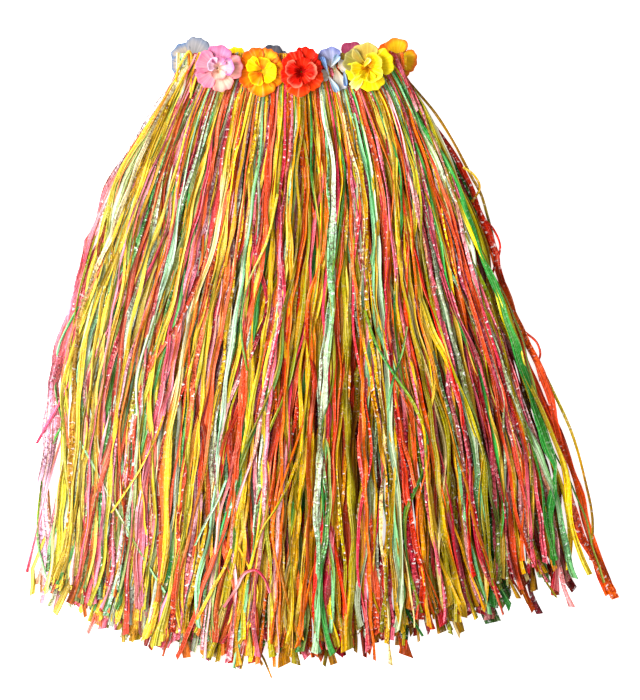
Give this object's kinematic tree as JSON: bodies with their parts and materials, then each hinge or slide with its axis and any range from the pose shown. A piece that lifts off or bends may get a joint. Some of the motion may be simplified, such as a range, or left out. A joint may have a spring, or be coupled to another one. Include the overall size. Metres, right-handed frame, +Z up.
{
  "type": "grass skirt",
  "caption": "Hula skirt of coloured raffia ribbons on an elastic waistband sewn with fabric flowers, spread out flat as a fan.",
  "frame": {"origin": "middle of the skirt's box, on the surface that it lies on", "axes": "+X along the waistband, +Y from the hem towards the waistband, +Z up off the surface"},
  "size_m": [0.764, 0.833, 0.0387],
  "materials": {
    "elastic": "woven white elastic, matt",
    "raffia_film": "crinkled glossy plastic raffia in red, pink, yellow, orange, green and pearl white",
    "petal_pink": "pressed polyester petals, pink and lilac to a peach centre",
    "petal_orange": "pressed polyester petals, orange rims to yellow",
    "petal_red": "pressed polyester petals, bright red with pale edges",
    "petal_lavender": "pressed polyester petals, lavender-blue rims to a cream centre",
    "petal_yellow": "pressed polyester petals, bright yellow",
    "petal_slate": "pressed polyester petals seen from the reverse, blue-grey rims to cream",
    "petal_mauve": "pressed polyester petals, mauve in shade"
  },
  "bodies": {
    "root": {"waistband": "elastic", "fringe_back": "raffia_film", "fringe_front": "raffia_film", "flower_pink_outer": "petal_pink", "flower_pink_inner": "petal_pink", "flower_orange_outer": "petal_orange", "flower_orange_inner": "petal_orange", "flower_red_outer": "petal_red", "flower_red_inner": "petal_red", "flower_lavender_outer": "petal_lavender", "flower_lavender_inner": "petal_lavender", "flower_yellow_outer": "petal_yellow", "flower_yellow_inner": "petal_yellow", "flower_end_blue_outer": "petal_slate", "flower_end_blue_inner": "petal_slate", "flower_end_orange_outer": "petal_orange", "flower_end_orange_inner": "petal_orange", "flower_rear_yellow_outer": "petal_yellow", "flower_rear_yellow_inner": "petal_yellow", "flower_rear_slate_outer": "petal_slate", "flower_rear_slate_inner": "petal_slate", "flower_rear_mauve_outer": "petal_mauve", "flower_rear_mauve_inner": "petal_mauve"}
  },
  "joints": []
}
